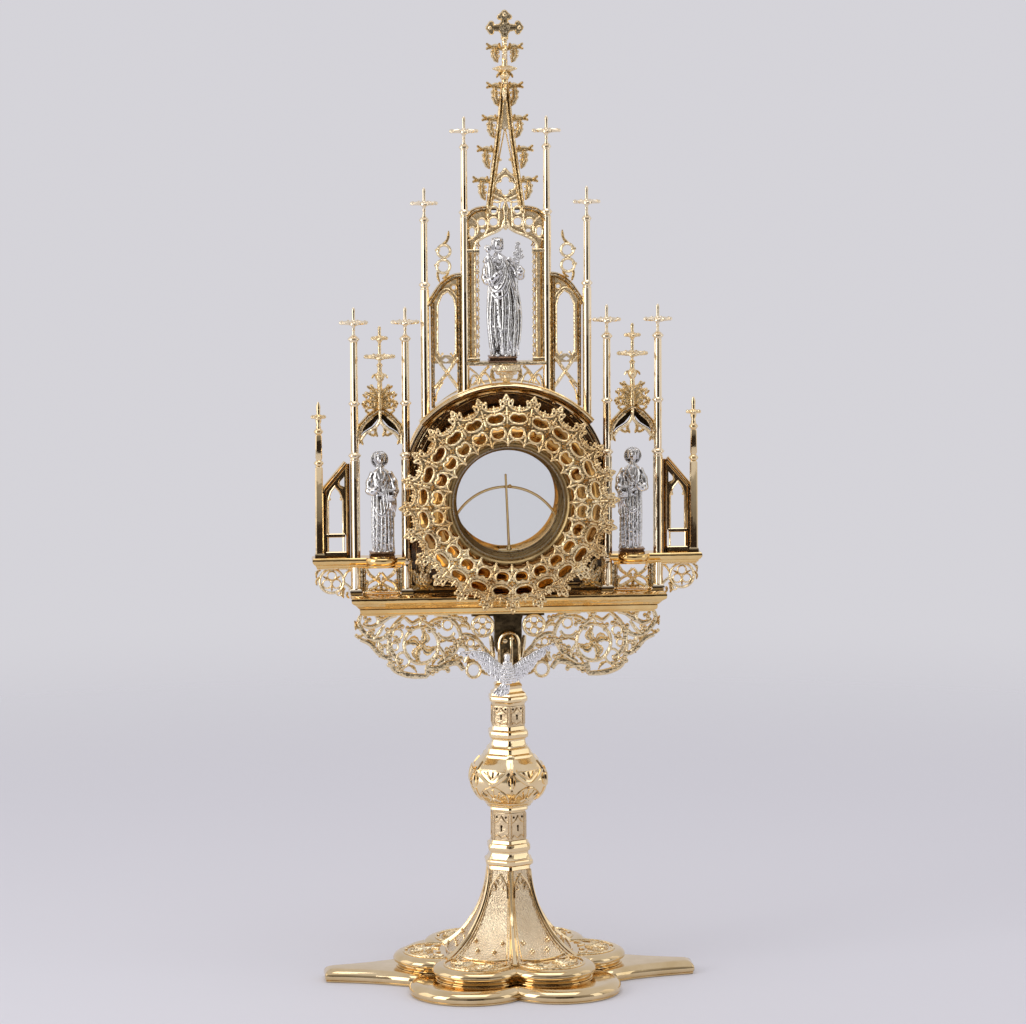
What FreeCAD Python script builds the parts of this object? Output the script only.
import FreeCAD, Part
import math
import os

# A gothic altar monstrance, 800 mm tall, in gold-plated brass with silver figures.
# Frame: origin at the centre of the foot on the table, +X to the object's right as seen
# from the front, -Y to the front, +Z up.  Millimetres.

V = FreeCAD.Vector

# ---------------------------------------------------------------- driving dimensions
TOTAL_HEIGHT = 800.0
LUNA_Z = 399.0            # height of the centre of the glass
GLASS_R = 44.0            # radius of the front glass disc
VIEW_R = 42.0             # clear radius seen through the bezel
DRUM_R_IN = 46.5          # inner radius of the luna chamber
DRUM_R_OUT = 49.0
LACE_R = 90.0             # tip radius of the lace rosette
LACE_COUNT = 24           # units round the rosette
LACE_PITCH = 360.0 / LACE_COUNT
FRET = 1.5                # half thickness of the fretwork plates

PLINTH_TOP = 11.0         # height of the foot's lower plate
TIER_TOP = 22.5           # height of the foot's upper tier
TRUMPET_TOP = 92.0
STEM_TOP = 237.6
BORE_R = 3.2              # clearance bore for the tie rod
ROD_R = 3.0

SHELF_TOP = 323.0         # the main shelf that carries the case and the wings
SHELF_BOTTOM = 307.0
SHELF_HALF = 129.5
WING_SHELF_TOP = 354.0
WING_SHELF_BOTTOM = 346.0
CASE_HALF = 84.0          # half width of the arched case
CASE_ARCH_Z = 412.0       # centre of the case's round top
PLATE_Y = 5.0             # front face of the case's front plate
CASE_FRONT_Y = 7.0
CASE_BACK_Y = 28.0
BACK_PLATE_Y = 29.7       # rear face of the back plate
DOOR_Y = 30.0             # front face of the closed rear door
ARCH_R_IN = 89.5          # moulding over the case, concentric with the luna
ARCH_R_OUT = 95.0

INNER_X = 33.6            # pinnacles beside the central niche
FLANK_X = 66.4            # pinnacles at the ends of the arch moulding
WING_IN_X = 82.6          # inner and outer columns of each wing
WING_OUT_X = 124.6
WING_X = 103.0            # middle of a wing
BUTTRESS_X = 153.0
NICHE_FLOOR = 513.6

parts = {}


# ---------------------------------------------------------------- helpers
def box(x0, x1, y0, y1, z0, z1):
    return Part.makeBox(x1 - x0, y1 - y0, z1 - z0, V(x0, y0, z0))


def rod_y(x, z, r, y0, y1):
    return Part.makeCylinder(r, y1 - y0, V(x, y0, z), V(0, 1, 0))


def rod_z(x, y, r, z0, z1):
    return Part.makeCylinder(r, z1 - z0, V(x, y, z0), V(0, 0, 1))


def cone_z(x, y, r0, r1, z0, z1):
    return Part.makeCone(r0, r1, z1 - z0, V(x, y, z0), V(0, 0, 1))


def ring_y(x, z, r_out, r_in, y0, y1):
    return rod_y(x, z, r_out, y0, y1).cut(rod_y(x, z, r_in, y0 - 1, y1 + 1))


def plate(points, y0=-FRET, y1=FRET):
    """An upright plate from an outline in X and Z."""
    corners = [V(x, y0, z) for x, z in points]
    face = Part.Face(Part.makePolygon(corners + corners[:1]))
    return face.extrude(V(0, y1 - y0, 0))


def prism(points, z0, z1):
    """A flat-lying plate from an outline in X and Y."""
    corners = [V(x, y, z0) for x, y in points]
    face = Part.Face(Part.makePolygon(corners + corners[:1]))
    return face.extrude(V(0, 0, z1 - z0))


def bar(p, q, width, y0=-FRET, y1=FRET):
    """A straight flat bar of the fretwork from p to q, both (x, z)."""
    dx = q[0] - p[0]
    dz = q[1] - p[1]
    k = width / 2 / math.hypot(dx, dz)
    nx = -dz * k
    nz = dx * k
    outline = [(p[0] + nx, p[1] + nz), (p[0] - nx, p[1] - nz),
               (q[0] - nx, q[1] - nz), (q[0] + nx, q[1] + nz)]
    return plate(outline, y0, y1)


def fuse(shapes):
    solid = shapes[0].multiFuse(shapes[1:]) if len(shapes) > 1 else shapes[0]
    return solid.removeSplitter()


def compound(shapes):
    return Part.makeCompound(shapes)


def mirrored(shape):
    return shape.mirror(V(0, 0, 0), V(1, 0, 0))


def turned_y(shape, degrees, x=0.0, z=LUNA_Z):
    copy = shape.copy()
    copy.rotate(V(x, 0, z), V(0, 1, 0), degrees)
    return copy


def turned_z(shape, degrees):
    copy = shape.copy()
    copy.rotate(V(0, 0, 0), V(0, 0, 1), degrees)
    return copy


def hexagon(r, z):
    """A hexagon of circumradius r with one corner to the front."""
    corners = [V(r * math.cos(math.radians(60 * k - 90)), r * math.sin(math.radians(60 * k - 90)), z)
               for k in range(6)]
    return Part.makePolygon(corners + corners[:1])


def hex_stack(profile):
    """A six-sided turned form from (height, circumradius) pairs."""
    return Part.makeLoft([hexagon(r, z) for z, r in profile], True, True)


def bored(shape, z0, z1, r=BORE_R):
    return shape.cut(rod_z(0, 0, r, z0 - 1, z1 + 1))


def arc_points(cx, cz, r, a0, a1, count):
    """Points on a circle, angles in degrees from +X towards +Z."""
    points = []
    for k in range(count + 1):
        a = math.radians(a0 + (a1 - a0) * k / count)
        points.append((cx + r * math.cos(a), cz + r * math.sin(a)))
    return points


def diamond(x, half, z0, z1):
    """A square post standing on its corner, seen as a diamond from above."""
    return prism([(x - half, 0), (x, -half), (x + half, 0), (x, half)], z0, z1)


def flower(x, z, half, thick=3.0):
    """A four-petalled finial flower lying flat on a post."""
    petal = half * 0.24
    cross = [box(x - half, x + half, -petal, petal, z - thick / 2, z + thick / 2),
             box(x - petal, x + petal, -half, half, z - thick / 2, z + thick / 2),
             cone_z(x, 0, petal * 1.7, petal * 0.6, z - thick / 2, z + thick * 1.2)]
    return fuse(cross)


def pinnacle(x, z0, z_collar, z_ring, z_flower, z_top, low, high, petal):
    """A diamond-section post with a collar, a ring, a flower and a pointed pin."""
    pieces = [diamond(x, low, z0, z_collar),
              rod_z(x, 0, high + 1.3, z_collar - 1.5, z_collar + 1.5),
              diamond(x, high, z_collar, z_ring),
              rod_z(x, 0, high + 0.9, z_ring - 1.2, z_ring + 1.2),
              cone_z(x, 0, high * 0.8, 1.6, z_ring, z_flower),
              flower(x, z_flower, petal),
              cone_z(x, 0, 2.2, 0.5, z_flower, z_top)]
    return fuse(pieces)


def seat(name, *others):
    """Notch a part where its neighbours stand, so that the pieces meet face to face."""
    for other in others:
        parts[name] = parts[name].cut(parts[other])


# ---------------------------------------------------------------- foot
def lobed(circles, extra, z0, z1):
    solids = [rod_z(x, y, r, z0, z1) for x, y, r in circles]
    return fuse(solids + extra)


def plinth_outline(inset, z0, z1):
    """Two lobes in front, two behind, and a tapering wing on each side."""
    lobe_x = 37.0
    lobe_y = 60.0
    lobe_r = 50.0 - inset
    circles = [(sx * lobe_x, sy * lobe_y, lobe_r) for sx in (-1, 1) for sy in (-1, 1)]
    tip_x = 153.7 - inset
    tip_y = 12.0 - inset
    waist = [(80, -40 + inset), (105, -24 + inset), (130, -16 + inset), (tip_x, -tip_y)]
    right = waist + [(x, -y) for x, y in reversed(waist)]
    left = [(-x, -y) for x, y in right]
    return lobed(circles, [prism(right + left, z0, z1), box(-60, 60, -50, 50, z0, z1)], z0, z1)


def make_foot():
    pocket = plinth_outline(5.0, 0, PLINTH_TOP - 3)
    low = plinth_outline(0, 0, 4.0)
    middle = plinth_outline(1.2, 4.0, 8.5)
    top = plinth_outline(3.2, 8.5, PLINTH_TOP)
    plinth = low.fuse(middle).fuse(top).cut(pocket)
    plinth = plinth.cut(rod_z(0, 0, 42.0, 0, PLINTH_TOP + 1))
    cover = plinth_outline(5.3, PLINTH_TOP - 4.2, PLINTH_TOP - 3)

    def sexfoil(inset, z0, z1):
        reach = 58.0
        circles = []
        for k in range(6):
            a = math.radians(60 * k)
            circles.append((reach * math.cos(a), reach * math.sin(a), 38.5 - inset))
        return lobed(circles, [rod_z(0, 0, 60.0, z0, z1)], z0, z1)

    tier = sexfoil(0, PLINTH_TOP, 14.5)
    tier = tier.fuse(sexfoil(3.0, 14.5, 16.5)).fuse(sexfoil(0.8, 16.5, 20.0))
    tier = tier.fuse(sexfoil(3.6, 20.0, TIER_TOP))
    tier = tier.cut(sexfoil(8.0, PLINTH_TOP - 1, TIER_TOP - 2.5))
    tier = tier.cut(rod_z(0, 0, 46.0, 0, TIER_TOP + 1))
    frame_r = 23.0
    ornaments = []
    for k in range(6):
        ring = rod_z(62, 0, frame_r, TIER_TOP, TIER_TOP + 1.4)
        ring = ring.cut(rod_z(62, 0, frame_r - 2.5, TIER_TOP - 1, TIER_TOP + 3))
        ring = ring.cut(rod_z(0, 0, 64.0, TIER_TOP - 1, TIER_TOP + 3))
        leaf = rod_z(76, 0, 6.0, TIER_TOP, TIER_TOP + 1.2)
        spray = box(66.0, 83.0, -1.2, 1.2, TIER_TOP, TIER_TOP + 1.0)
        ornaments.append(turned_z(fuse([ring, leaf, spray]), 60 * k))
    profile = [(TIER_TOP, 62.0), (26.0, 55.5), (30.5, 49.5), (38.0, 41.5), (47.0, 34.8),
               (56.0, 29.4), (65.0, 25.4), (74.0, 22.5), (83.0, 20.6), (TRUMPET_TOP, 19.5)]
    outer = hex_stack(profile)
    inner = hex_stack([(z - 2.5, r - 2.2) for z, r in profile])
    trumpet = outer.cut(inner).cut(box(-80, 80, -80, 80, 0, TIER_TOP))
    trumpet = bored(trumpet, 80, TRUMPET_TOP)
    parts["foot_plinth"] = plinth
    parts["foot_base_cover"] = cover
    parts["foot_upper_tier"] = tier
    parts["foot_lobe_ornaments"] = compound(ornaments)
    parts["foot_trumpet"] = trumpet


# ---------------------------------------------------------------- stem
def make_stem():
    profiles = {
        "stem_foot_collar": [(TRUMPET_TOP, 19.5), (95.5, 19.0), (96.2, 22.4), (100.0, 22.4),
                             (104.0, 18.8), (107.5, 18.4), (108.5, 19.6), (113.5, 19.6),
                             (116.5, 17.0)],
        "stem_lower_shaft": [(116.5, 15.8), (140.0, 15.8)],
        "knop_lower_collar": [(140.0, 15.6), (141.5, 17.6), (144.0, 17.9), (146.0, 20.8),
                              (148.5, 21.7)],
        "knop": [(148.5, 22.4), (151.0, 26.6), (155.0, 31.6), (160.0, 35.4), (165.5, 37.0),
                 (171.0, 36.8), (176.0, 34.8), (181.0, 30.6), (184.5, 26.4), (186.5, 24.0)],
        "knop_upper_collar": [(186.5, 22.6), (189.0, 22.6), (191.0, 20.0), (194.5, 18.8),
                              (197.5, 16.8), (201.5, 15.8), (203.0, 18.3), (208.5, 18.3),
                              (212.0, 15.4)],
        "stem_upper_shaft": [(212.0, 15.1), (229.5, 15.1)],
        "stem_top_collar": [(229.5, 15.6), (232.0, 17.2), (235.0, 18.0), (STEM_TOP, 18.0)],
    }
    for name, profile in profiles.items():
        parts[name] = bored(hex_stack(profile), profile[0][0], profile[-1][0])
    rod_bottom = 78.0
    rod_top = 262.0
    nut_side = 5.8
    nut_low = TRUMPET_TOP - 2.5 - 6.0
    parts["tie_rod"] = rod_z(0, 0, ROD_R, rod_bottom, rod_top)
    nut = hex_stack([(nut_low, nut_side), (nut_low + 5, nut_side)])
    washer = rod_z(0, 0, 8.0, nut_low + 5, nut_low + 6)
    parts["tie_rod_nuts"] = compound([nut.cut(rod_z(0, 0, ROD_R, 0, 300)),
                                      washer.cut(rod_z(0, 0, BORE_R, 0, 300))])
    cone = hex_stack([(STEM_TOP, 16.4), (240.0, 16.4), (241.5, 13.2), (245.5, 12.4),
                      (247.0, 10.6), (252.0, 10.2)])
    post = box(-8.6, 8.6, -7.4, 7.4, 252.0, 272.0)
    tab = fuse([box(-8.0, 8.0, -11.4, -7.4, 252.0, 282.0), rod_y(0, 282.0, 8.0, -11.4, -7.4)])
    parts["neck_post"] = fuse([cone, post, tab]).cut(rod_z(0, 0, ROD_R, 200, rod_top))
    stalk = box(-12.0, 12.0, -7.4, 7.4, 272.0, 292.0)
    head = box(-30.0, 30.0, -7.4, 7.4, 292.0, SHELF_BOTTOM)
    parts["neck_plate"] = fuse([stalk, head])


def make_dove():
    """A dove with raised wings, in front of the neck."""
    y = -19.0
    body = Part.makeSphere(1.0)
    matrix = FreeCAD.Matrix()
    matrix.scale(8.5, 7.0, 13.0)
    body = body.transformGeometry(matrix)
    body.translate(V(-1.5, y, 259.0))
    head = Part.makeSphere(5.0, V(-1.0, y - 1.5, 274.0))
    wing = plate([(3, 262), (14, 258), (30, 266), (38.5, 280), (30, 283), (17, 274), (4, 272)],
                 y - 1.6, y + 1.6)
    left_wing = mirrored(wing)
    left_wing.translate(V(-3, 0, 0))
    tail = plate([(-5, 255), (-12, 238.4), (6, 238.4), (3, 255)], y - 2.0, y + 2.0)
    peg = rod_y(0, 262.0, 3.0, y, -11.4)
    parts["dove"] = fuse([body, head, wing, left_wing, tail, peg])


# ---------------------------------------------------------------- brackets and shelf
def make_brackets():
    outline = [(31, SHELF_BOTTOM), (117, SHELF_BOTTOM), (126, 298), (124, 285), (112, 279),
               (98, 263), (82, 255), (68, 252), (56, 257), (44, 263), (34, 252), (22, 253),
               (12.2, 262), (12.2, 284), (31, 284)]
    holes = [(71, 275, 11.5), (97, 289, 8.5), (111, 291, 5.0), (88, 270, 4.5), (52, 291, 7.0),
             (45, 276, 6.5), (56, 267, 3.4), (27, 261, 5.0), (19, 274, 4.0), (38, 292, 3.6),
             (34, 273, 3.4), (84, 293, 3.6)]
    bracket = plate(outline)
    for x, z, r in holes:
        bracket = bracket.cut(rod_y(x, z, r, -4, 4))
    parts["scroll_brackets"] = compound([bracket, mirrored(bracket)])
    rosette_x = 20.7
    rosette_z = SHELF_BOTTOM - 11.0
    rosette = rod_y(rosette_x, rosette_z, 9.0, -10.4, -7.4)
    for k in range(4):
        a = math.radians(45 + 90 * k)
        hole_x = rosette_x + 4.7 * math.cos(a)
        hole_z = rosette_z + 4.7 * math.sin(a)
        rosette = rosette.cut(rod_y(hole_x, hole_z, 2.3, -12, -5))
    parts["bracket_rosettes"] = compound([rosette, mirrored(rosette)])


def make_main_shelf():
    steps = [(SHELF_BOTTOM, 310.0, 119.0, -16.0, 22.0), (310.0, 313.0, 121.5, -19.0, 25.0),
             (313.0, 317.0, 126.0, -23.0, 29.0), (317.0, SHELF_TOP, SHELF_HALF, -26.0, 32.0)]
    slabs = [box(-half, half, y0, y1, z0, z1) for z0, z1, half, y0, y1 in steps]
    parts["main_shelf"] = fuse(slabs)


# ---------------------------------------------------------------- case and luna
def arch_solid(half, z0, y0, y1):
    return fuse([box(-half, half, y0, y1, z0, CASE_ARCH_Z), rod_y(0, CASE_ARCH_Z, half, y0, y1)])


def make_case():
    wall = 2.0
    hole = rod_y(0, LUNA_Z, DRUM_R_OUT, -40, 60)
    shell = arch_solid(CASE_HALF, SHELF_TOP, CASE_FRONT_Y, CASE_BACK_Y)
    room = arch_solid(CASE_HALF - wall, SHELF_TOP + wall, CASE_FRONT_Y - 1, CASE_BACK_Y + 1)
    parts["case_body"] = shell.cut(room)
    parts["case_front_plate"] = arch_solid(CASE_HALF, SHELF_TOP, PLATE_Y, CASE_FRONT_Y).cut(hole)
    back = arch_solid(CASE_HALF, SHELF_TOP, CASE_BACK_Y, BACK_PLATE_Y).cut(hole)
    screws = []
    for x, z in ((-78.6, 328.0), (78.6, 328.0), (-68.0, 451.0), (68.0, 451.0), (0, 490.6)):
        back = back.cut(rod_y(x, z, 1.6, 0, 60))
        shank = rod_y(x, z, 1.5, CASE_BACK_Y - 6, BACK_PLATE_Y)
        head = rod_y(x, z, 3.0, BACK_PLATE_Y, BACK_PLATE_Y + 1.6)
        boss = rod_y(x, z, 4.0, CASE_FRONT_Y, CASE_BACK_Y)
        slot = box(x - 3, x + 3, BACK_PLATE_Y + 0.9, BACK_PLATE_Y + 3, z - 0.4, z + 0.4)
        parts["case_body"] = parts["case_body"].fuse(boss).cut(rod_y(x, z, 1.5, CASE_BACK_Y - 6, 60))
        screws.append(fuse([shank, head]).cut(slot))
    parts["case_back_plate"] = back
    parts["case_screws"] = compound(screws)

    leaf = fuse([plate([(60, 325), (79, 325), (79, 349), (70, 342), (62, 334)], 1.6, PLATE_Y),
                 rod_y(68, 333, 6.5, 0.6, PLATE_Y), rod_y(73, 345, 5.0, 1.2, PLATE_Y)])
    parts["corner_leaves"] = compound([leaf, mirrored(leaf)])

    lower = plate(arc_points(0, LUNA_Z, ARCH_R_OUT, 42.5, 137.5, 32)
                  + arc_points(0, LUNA_Z, ARCH_R_IN, 137.5, 42.5, 32), -9.0, PLATE_Y)
    crown = plate(arc_points(0, LUNA_Z, ARCH_R_OUT + 2.5, 42.5, 137.5, 32)
                  + arc_points(0, LUNA_Z, ARCH_R_OUT, 137.5, 42.5, 32), -6.0, PLATE_Y)
    parts["arch_moulding"] = fuse([lower, crown])


def make_luna():
    front = -5.0
    drum = ring_y(0, LUNA_Z, DRUM_R_OUT, DRUM_R_IN, front + 4, BACK_PLATE_Y)
    drum = drum.fuse(ring_y(0, LUNA_Z, DRUM_R_OUT, GLASS_R, front, front + 4))
    pivot_z = LUNA_Z - 18.0
    pivot_y = 14.0
    for sx in (-1, 1):
        start = V(sx * 38.0, pivot_y, pivot_z)
        drum = drum.cut(Part.makeCylinder(0.95, 12.0, start, V(sx, 0, 0)))
    parts["luna_drum"] = drum
    parts["front_glass"] = rod_y(0, LUNA_Z, GLASS_R, front + 1.0, front + 3.0)

    bezel_front = -26.0
    depth = front - bezel_front
    hollow = Part.makeCone(VIEW_R, 48.2, depth, V(0, front, LUNA_Z), V(0, -1, 0))
    funnel = Part.makeCone(VIEW_R + 1.8, 50.0, depth, V(0, front, LUNA_Z), V(0, -1, 0))
    rim = rod_y(0, LUNA_Z, 51.5, bezel_front, bezel_front + 2.0)
    flange = rod_y(0, LUNA_Z, DRUM_R_OUT, front - 2.0, front)
    parts["front_bezel"] = fuse([funnel, rim, flange]).cut(hollow)

    wire = 0.8
    bow_r = 47.4
    bow_y = pivot_y
    top_z = LUNA_Z + 9.0
    centre_z = top_z - bow_r
    reach = math.degrees(math.acos((pivot_z + 2.0 - centre_z) / bow_r))
    section = []
    for k in range(9):
        angle = math.radians(45.0 * k + 22.5)
        section.append(V(0, bow_y + wire * math.cos(angle), top_z + wire * math.sin(angle)))
    start = Part.Face(Part.makePolygon(section))
    start.rotate(V(0, bow_y, centre_z), V(0, 1, 0), -reach)
    bow = start.revolve(V(0, bow_y, centre_z), V(0, 1, 0), 2 * reach)
    ends = []
    for sx in (-1, 1):
        ends.append(Part.makeCylinder(0.88, 4.5, V(sx * 40.8, pivot_y, pivot_z), V(sx, 0, 0)))
        ends.append(box(-1.0, 1.0, -1.1, 1.1, -0.8, 3.0).translated(V(sx * 41.2, pivot_y, pivot_z)))
    bead = box(-1.5, 1.5, -1.5, 1.5, -1.4, 1.7).translated(V(3.6, bow_y, top_z))
    parts["luna_bow"] = fuse([bow, bead] + ends)

    lean = V(-2.6, 0, 64.0)
    foot_z = LUNA_Z - DRUM_R_IN + 1.6
    pin = Part.makeCylinder(1.1, lean.Length, V(2.4, pivot_y - 4.6, foot_z + 1.5), lean)
    base = box(-7.0, 11.0, pivot_y - 8.0, pivot_y - 1.2, foot_z - 3.0, foot_z + 2.0)
    upright = fuse([pin, base])
    parts["luna_upright"] = upright.common(rod_y(0, LUNA_Z, DRUM_R_IN, -1, 29))


def lace_tier(r_in, r_out, y0, y1, hole_r, hole_radius, stretch, phase, points):
    """One pierced ring of the rosette: a round band with a fixed number of openings."""
    band = ring_y(0, LUNA_Z, r_out, r_in, y0, y1)
    adds = []
    cuts = []
    for k in range(LACE_COUNT):
        angle = LACE_PITCH * (k + phase)
        hole = rod_y(0, LUNA_Z + hole_radius - stretch / 2, hole_r, y0 - 1, y1 + 1)
        slot = [hole, rod_y(0, LUNA_Z + hole_radius + stretch / 2, hole_r, y0 - 1, y1 + 1)]
        if stretch > 0:
            slot.append(box(-hole_r, hole_r, y0 - 1, y1 + 1, LUNA_Z + hole_radius - stretch / 2,
                            LUNA_Z + hole_radius + stretch / 2))
            cuts.append(turned_y(fuse(slot), angle))
        else:
            cuts.append(turned_y(hole, angle))
        if points > 0:
            tip = plate([(-5.6, LUNA_Z + r_out - 2.5), (5.6, LUNA_Z + r_out - 2.5),
                         (0, LUNA_Z + r_out + points)], y0, y1)
            adds.append(turned_y(tip, LACE_PITCH * (k + phase + 0.5)))
    solid = band.multiFuse(adds) if adds else band
    return solid.cut(Part.makeCompound(cuts)).removeSplitter()


def make_lace():
    parts["lace_ring_outer"] = lace_tier(66.0, 79.5, -29.5, -27.0, 4.4, 72.0, 3.0, 0.5, LACE_R - 79.5)
    parts["lace_ring_middle"] = lace_tier(53.5, 67.5, -32.0, -29.5, 3.9, 60.0, 2.0, 0.5, 0.0)
    parts["lace_ring_inner"] = lace_tier(50.0, 55.0, -34.5, -32.0, 1.2, 53.0, 0.0, 0.0, 0.0)
    dish_r = 77.5
    dish = Part.makeCone(dish_r, 52.0, 14.0, V(0, PLATE_Y - 1.0, LUNA_Z), V(0, -1, 0))
    skin = Part.makeCone(dish_r - 1.0, 51.0, 14.0, V(0, PLATE_Y, LUNA_Z), V(0, -1, 0))
    dish = dish.fuse(rod_y(0, LUNA_Z, dish_r, PLATE_Y - 1.0, PLATE_Y))
    parts["reflector_dish"] = dish.cut(skin).cut(rod_y(0, LUNA_Z, 50.0, -20, 10))
    posts = []
    for k in range(8):
        a = math.radians(45 * k + 22.5)
        x = 66.8 * math.sin(a)
        z = LUNA_Z + 66.8 * math.cos(a)
        post = rod_y(x, z, 1.6, -27.0, PLATE_Y)
        posts.append(post)
        parts["reflector_dish"] = parts["reflector_dish"].cut(rod_y(x, z, 1.6, -40, 10))
    parts["lace_posts"] = compound(posts)


def make_rear_door():
    x_pin = -58.0
    y_pin = 33.6
    ring = ring_y(0, LUNA_Z, 52.0, VIEW_R, DOOR_Y, DOOR_Y + 3.4)
    ring = ring.cut(rod_y(0, LUNA_Z, 45.0, DOOR_Y + 1.2, DOOR_Y + 4))
    knuckle_r = 2.8
    pin_r = 1.2
    knuckle = rod_z(x_pin, y_pin, knuckle_r, LUNA_Z - 9.0, LUNA_Z + 9.0)
    strap = box(x_pin, -48.0, DOOR_Y + 1.0, DOOR_Y + 3.4, LUNA_Z - 9.0, LUNA_Z + 9.0)
    ring = fuse([ring, knuckle, strap]).cut(rod_y(0, LUNA_Z, 45.0, DOOR_Y + 1.2, DOOR_Y + 4))
    parts["rear_door_ring"] = ring.cut(rod_z(x_pin, y_pin, pin_r + 0.05, 300, 500))
    parts["rear_door_glass"] = rod_y(0, LUNA_Z, 45.0, DOOR_Y + 1.2, DOOR_Y + 3.2)
    lugs = []
    for z0, z1 in ((LUNA_Z - 17.0, LUNA_Z - 9.3), (LUNA_Z + 9.3, LUNA_Z + 17.0)):
        lug = rod_z(x_pin, y_pin, knuckle_r, z0, z1)
        leaf = box(x_pin - knuckle_r, x_pin, BACK_PLATE_Y, y_pin, z0, z1)
        lugs.append(fuse([lug, leaf]))
    leaf_plate = box(x_pin - 12.0, x_pin - 3.2, BACK_PLATE_Y, BACK_PLATE_Y + 1.4,
                     LUNA_Z - 17.0, LUNA_Z + 17.0)
    arms = [box(x_pin - 4.0, x_pin - knuckle_r, BACK_PLATE_Y, BACK_PLATE_Y + 1.4, z0, z1)
            for z0, z1 in ((LUNA_Z - 17.0, LUNA_Z - 9.3), (LUNA_Z + 9.3, LUNA_Z + 17.0))]
    pin = rod_z(x_pin, y_pin, pin_r, LUNA_Z - 18.5, LUNA_Z + 18.5)
    parts["rear_door_hinge"] = fuse(lugs + arms + [leaf_plate, pin])
    stem = rod_y(48.2, LUNA_Z, 1.8, DOOR_Y + 3.4, DOOR_Y + 7.0)
    ball = Part.makeSphere(4.0, V(48.2, DOOR_Y + 9.4, LUNA_Z))
    parts["rear_door_knob"] = fuse([stem, ball])


# ---------------------------------------------------------------- upper works
def make_pinnacles():
    inner = pinnacle(INNER_X, 486.0, 635.5, 688.5, 701.5, 713.5, 3.9, 3.1, 12.0)
    parts["central_pinnacles"] = compound([inner, mirrored(inner)])
    flank = pinnacle(FLANK_X, 464.8, 576.8, 629.5, 643.2, 656.0, 4.0, 3.1, 11.3)
    parts["flank_pinnacles"] = compound([flank, mirrored(flank)])
    for side, sign in (("left", -1), ("right", 1)):
        posts = []
        for x in (WING_IN_X, WING_OUT_X):
            post = pinnacle(sign * x, SHELF_TOP, 437.5, 533.0, 546.5, 559.0, 4.5, 3.6, 12.0)
            post = post.fuse(rod_z(sign * x, 0, 5.0, 478.0, 481.0)).removeSplitter()
            posts.append(post)
        parts["wing_columns_" + side] = compound(posts)


def make_gable():
    """The tall open gable and the spire stem above it."""
    apex = 739.0
    foot_z = 636.0
    legs = [bar((0, apex), (14.6, foot_z), 3.4), bar((0, apex), (-14.6, foot_z), 3.4)]
    rungs = [bar((-9.2, 672.0), (9.2, 672.0), 2.6), bar((-13.0, 645.0), (13.0, 645.0), 2.6)]
    ring = ring_y(0, 657.0, 10.4, 7.6, -FRET, FRET)
    stem = diamond(0, 2.8, apex - 6, 778.0)
    parts["central_gable"] = fuse(legs + rungs + [ring, stem])
    tips = []
    cross = [box(-15.0, 15.0, -2.0, 2.0, 783.0, 787.0), box(-2.2, 2.2, -2.0, 2.0, 778.0, TOTAL_HEIGHT),
             rod_y(-12.6, 785.0, 2.4, -2, 2), rod_y(12.6, 785.0, 2.4, -2, 2),
             rod_y(0, 797.4, 2.6, -2, 2), rod_y(0, 785.0, 4.6, -2.4, 2.4)]
    tips.append(fuse(cross))
    for z, reach in ((768.0, 15.0), (752.0, 11.0), (738.0, 15.2)):
        leaf = plate([(2.4, z - 7), (reach, z - 2.5), (reach, z + 2.5), (2.4, z + 1)], -2, 2)
        tips += [leaf, mirrored(leaf)]
    for z in (712.6, 688.0, 663.0):
        x = (apex - z) / (apex - foot_z) * 14.6
        leaf = plate([(x, z - 12), (x + 8, z - 9), (x + 14.2, z - 2), (x + 13.4, z + 2.6), (x, z)], -2, 2)
        tips += [leaf, mirrored(leaf)]
    parts["gable_crockets"] = compound(tips)


def make_niche():
    """Canopy, jambs, floor and corbel of the central niche."""
    half = INNER_X
    outline = [(half, 606.0), (half, 618.0)]
    outline += arc_points(half - 20.0, 617.0, 19.8, 4, 88, 8)
    outline += [(12.0, 640.0), (0, 643.7)]
    outline += [(-x, z) for x, z in reversed(outline[:-1])]
    canopy = plate(outline)
    ogee = [(25.0, 600.0), (25.0, 609.0), (20.0, 616.0), (9.0, 619.0), (0, 627.0)]
    ogee += [(-x, z) for x, z in reversed(ogee[:-1])]
    canopy = canopy.cut(plate(ogee, -4, 4))
    for x, z, r in ((-19.5, 627.0, 3.4), (19.5, 627.0, 3.4), (-8.5, 631.6, 3.0), (8.5, 631.6, 3.0)):
        canopy = canopy.cut(rod_y(x, z, r, -4, 4))
    parts["canopy_tracery"] = canopy

    jambs = []
    for sign in (-1, 1):
        strip = box(min(sign * 20.5, sign * half), max(sign * 20.5, sign * half), -FRET, FRET,
                    NICHE_FLOOR, 606.0)
        for k in range(6):
            strip = strip.cut(rod_y(sign * 24.6, 523.0 + 14.6 * k, 2.3, -4, 4))
        jambs.append(strip)
    parts["niche_frame"] = compound(jambs)

    rail = box(-half, half, -7.0, 5.0, 510.6, NICHE_FLOOR)
    bracket = hex_stack([(500.0, 4.0), (504.0, 9.0), (510.6, 14.0)])
    props = [bar((sx * 12.0, 510.6), (sx * 26.0, 492.5), 3.0) for sx in (-1, 1)]
    stand = box(-2.5, 2.5, -FRET, FRET, 494.0, 502.0)
    parts["niche_corbel"] = fuse([rail, bracket, stand] + props)


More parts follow.
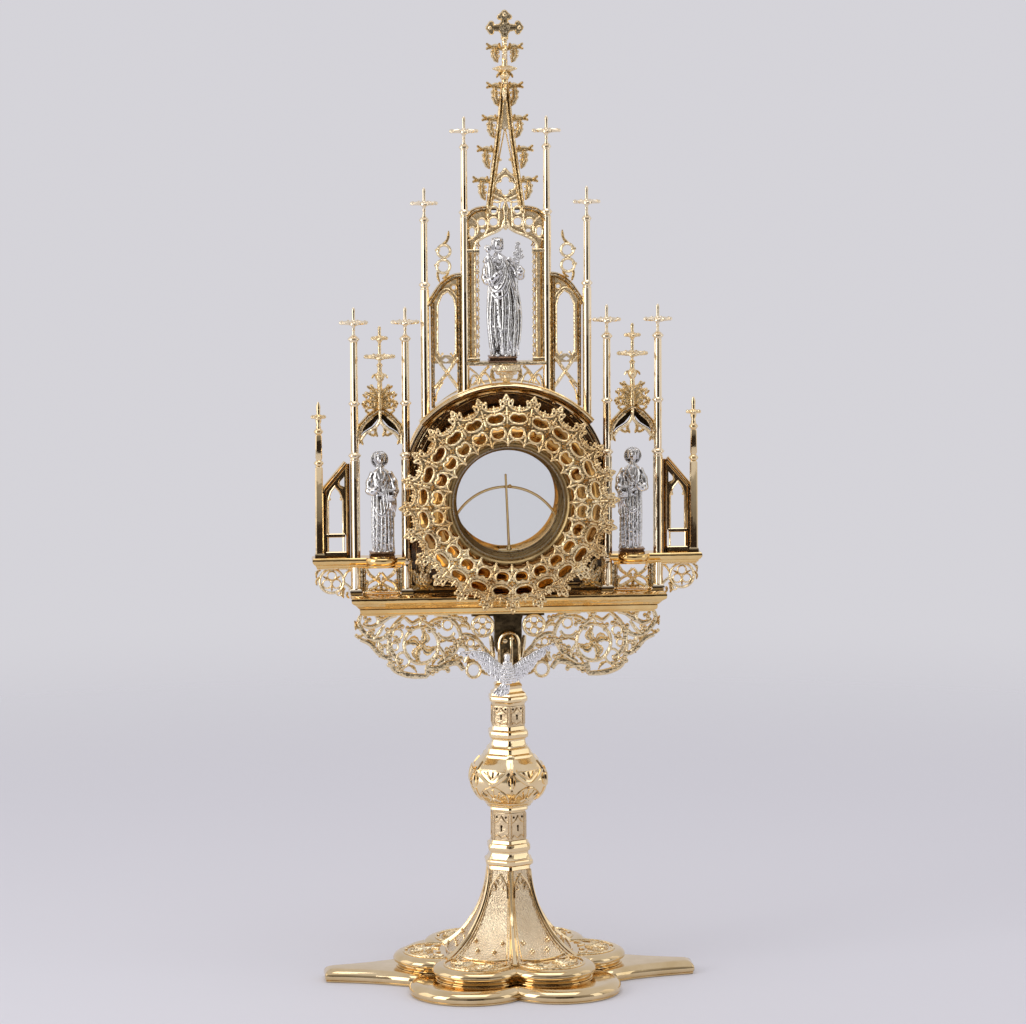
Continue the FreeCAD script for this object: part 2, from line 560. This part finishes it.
def make_flanks():
    """The pierced side lights between the central and the flank pinnacles, and their scrolls."""
    x0 = INNER_X
    x1 = FLANK_X
    for side, sign in (("left", -1), ("right", 1)):
        edge = [(x0, 585.5)] + [(x1 - 29.0 + 29.0 * math.sin(math.radians(a)),
                                 556.0 + 29.0 * math.cos(math.radians(a))) for a in range(10, 91, 16)]
        outline = edge + [(x1, 469.0), (x0, 489.0)]
        light = plate(outline)
        lancet = [(42.0, 514.0), (42.0, 556.0), (45.0, 566.0), (49.5, 571.0), (54.0, 566.0),
                  (57.5, 556.0), (57.5, 514.0)]
        light = light.cut(plate(lancet, -4, 4))
        light = light.cut(plate([(42.0, 489.5), (42.0, 504.0), (50.0, 508.5), (58.0, 504.0),
                                 (58.0, 481.0)], -4, 4))
        scroll = [ring_y(50.2, 591.4, 6.6, 3.8, -FRET, FRET), ring_y(50.6, 604.0, 7.2, 4.4, -FRET, FRET),
                  bar((49.0, 610.0), (47.0, 620.0), 2.6), bar((49.5, 586.0), (49.0, 578.0), 3.0)]
        solid = fuse([light] + scroll)
        parts["flank_tracery_" + side] = solid if sign > 0 else mirrored(solid)


def figure(x, z0, height, width, halo):
    """A standing robed figure on a small base, as stacked elliptical sections."""
    levels = [(0.0, 0.92, 0.62), (0.03, 0.92, 0.62), (0.04, 0.80, 0.56), (0.12, 0.74, 0.54),
              (0.45, 0.86, 0.60), (0.62, 0.98, 0.64), (0.76, 0.80, 0.56), (0.815, 0.30, 0.32),
              (0.86, 0.36, 0.40), (0.92, 0.40, 0.42), (0.975, 0.28, 0.30), (0.99, 0.10, 0.12)]
    y = -2.0
    wires = []
    for t, wide, deep in levels:
        a = width / 2 * max(wide, deep)
        b = width / 2 * min(wide, deep)
        along = V(1, 0, 0) if wide >= deep else V(0, 1, 0)
        centre = V(x, y, z0 + height * t)
        ellipse = Part.Ellipse(centre + along * a, centre + V(-along.y, along.x, 0) * b, centre)
        wires.append(Part.Wire(ellipse.toShape()))
    body = Part.makeLoft(wires, True, True)
    solids = [body, box(x - width * 0.43, x + width * 0.43, y - 8.0, y + 8.0, z0, z0 + 3.6)]
    if halo:
        solids.append(rod_y(x, z0 + height * 0.905, width * 0.22, y + 3.2, y + 5.0))
    return fuse(solids)


def make_figures():
    parts["statue_central"] = figure(-1.5, NICHE_FLOOR, 100.5, 36.0, False)
    parts["statue_left"] = figure(-WING_X, WING_SHELF_TOP, 88.0, 27.0, True)
    parts["statue_right"] = figure(WING_X, WING_SHELF_TOP, 88.0, 27.0, True)


# ---------------------------------------------------------------- wings
def make_wings():
    shelves = []
    for side, sign in (("left", -1), ("right", 1)):
        slab = box(WING_IN_X, 160.5, -10.0, 7.5, WING_SHELF_BOTTOM + 3.0, WING_SHELF_TOP)
        under = box(WING_IN_X, 158.0, -8.0, 5.5, WING_SHELF_BOTTOM, WING_SHELF_BOTTOM + 3.0)
        bow_front = rod_z(WING_X, -4.0, 14.0, WING_SHELF_BOTTOM, WING_SHELF_TOP)
        shelf = fuse([slab, under, bow_front])
        shelves.append(shelf if sign > 0 else mirrored(shelf))

        x0 = WING_IN_X
        x1 = WING_OUT_X
        apex = 476.5
        gable = [(x0, 447.0), (x0, 458.0), (x0 + 10.0, 466.0), (WING_X + 0.6, apex),
                 (x1 - 10.0, 466.0), (x1, 458.0), (x1, 447.0)]
        canopy = plate(gable)
        arch = [(x0 + 6.5, 440.0), (x0 + 6.5, 448.0), (x0 + 13.0, 458.0), (WING_X + 0.6, 461.0),
                (x1 - 13.0, 458.0), (x1 - 6.5, 448.0), (x1 - 6.5, 440.0)]
        canopy = canopy.cut(plate(arch, -4, 4))
        middle = WING_X + 0.6
        stem = diamond(middle, 2.6, apex - 4.0, 533.0)
        crown = [flower(middle, 518.5, 13.4), flower(middle, 533.5, 5.9),
                 cone_z(middle, 0, 2.0, 0.5, 533.0, 543.5),
                 Part.makeSphere(4.2, V(middle, 0, 502.0))]
        for dx in (-1, 1):
            crown.append(plate([(middle, 480.0), (middle + dx * 9.5, 481.0), (middle + dx * 9.0, 489.0),
                                (middle, 494.0)], -2, 2))
        canopy = fuse([canopy, stem] + crown)
        parts["wing_canopy_" + side] = canopy if sign > 0 else mirrored(canopy)

        post = pinnacle(BUTTRESS_X, WING_SHELF_TOP, 431.5, 457.5, 468.5, 482.0, 3.4, 2.8, 7.0)
        window = plate([(x1, WING_SHELF_TOP), (x1, 434.0), (BUTTRESS_X, 407.0),
                        (BUTTRESS_X, WING_SHELF_TOP)])
        light = [(132.0, 375.0), (132.0, 404.0), (137.5, 410.5), (143.0, 404.0), (143.0, 375.0)]
        window = window.cut(plate(light, -4, 4))
        window = window.cut(box(132.0, 143.0, -4, 4, 358.0, 370.5))
        window = window.cut(plate([(131.5, 413.0), (131.5, 423.0), (141.0, 413.0)], -4, 4))
        buttress = fuse([post, window])
        parts["buttress_" + side] = buttress if sign > 0 else mirrored(buttress)
    parts["wing_shelves"] = compound(shelves)

    pieces = []
    for sign in (-1, 1):
        panel = plate([(WING_IN_X, SHELF_TOP), (WING_OUT_X, SHELF_TOP), (WING_OUT_X, WING_SHELF_BOTTOM),
                       (WING_IN_X, WING_SHELF_BOTTOM)])
        for x, z, r in ((103.5, 332.5, 4.6), (93.8, 332.5, 2.8), (113.2, 332.5, 2.8),
                        (98.0, 341.0, 2.4), (109.0, 341.0, 2.4), (98.0, 327.2, 2.2), (109.0, 327.2, 2.2)):
            panel = panel.cut(rod_y(x, z, r, -4, 4))
        pendant = [ring_y(141.0, 332.4, 10.3, 7.6, -FRET, FRET), rod_y(133.0, 324.5, 2.6, -FRET, FRET),
                   rod_y(141.0, 332.4, 3.0, -FRET, FRET), bar((141.0, 341.0), (141.0, 324.0), 1.8),
                   box(WING_OUT_X, 156.0, -FRET, FRET, WING_SHELF_BOTTOM - 4.0, WING_SHELF_BOTTOM),
                   bar((WING_OUT_X, 334.0), (134.0, 330.0), 3.0)]
        solid = fuse([panel] + pendant)
        pieces.append(solid if sign > 0 else mirrored(solid))
    parts["wing_tracery"] = compound(pieces)


def fit_together():
    """Notches where plates stand against posts and mouldings, so that no two pieces overlap."""
    seat("central_pinnacles", "arch_moulding")
    seat("flank_pinnacles", "arch_moulding")
    seat("canopy_tracery", "central_pinnacles", "central_gable")
    seat("niche_frame", "central_pinnacles", "canopy_tracery")
    seat("niche_corbel", "central_pinnacles", "arch_moulding")
    seat("gable_crockets", "central_gable", "canopy_tracery")
    for side in ("left", "right"):
        seat("flank_tracery_" + side, "central_pinnacles", "flank_pinnacles", "arch_moulding")
        seat("wing_canopy_" + side, "wing_columns_" + side)
        seat("buttress_" + side, "wing_columns_" + side)
        seat("wing_shelves", "wing_columns_" + side)
        seat("wing_tracery", "wing_columns_" + side)
    seat("wing_shelves", "case_front_plate", "case_body")
    seat("foot_upper_tier", "foot_trumpet")
    seat("foot_lobe_ornaments", "foot_trumpet")
    seat("lace_posts", "lace_ring_outer")
    seat("reflector_dish", "main_shelf")


def main():
    make_foot()
    make_stem()
    make_dove()
    make_brackets()
    make_main_shelf()
    make_case()
    make_luna()
    make_lace()
    make_rear_door()
    make_pinnacles()
    make_gable()
    make_niche()
    make_flanks()
    make_figures()
    make_wings()
    fit_together()
    os.makedirs("parts", exist_ok=True)
    for name, shape in parts.items():
        shape.exportStep("parts/" + name + ".step")
        print(name, len(shape.Solids), "solids", round(shape.Volume, 1), shape.isValid())
    print(len(parts), "nodes")


main()
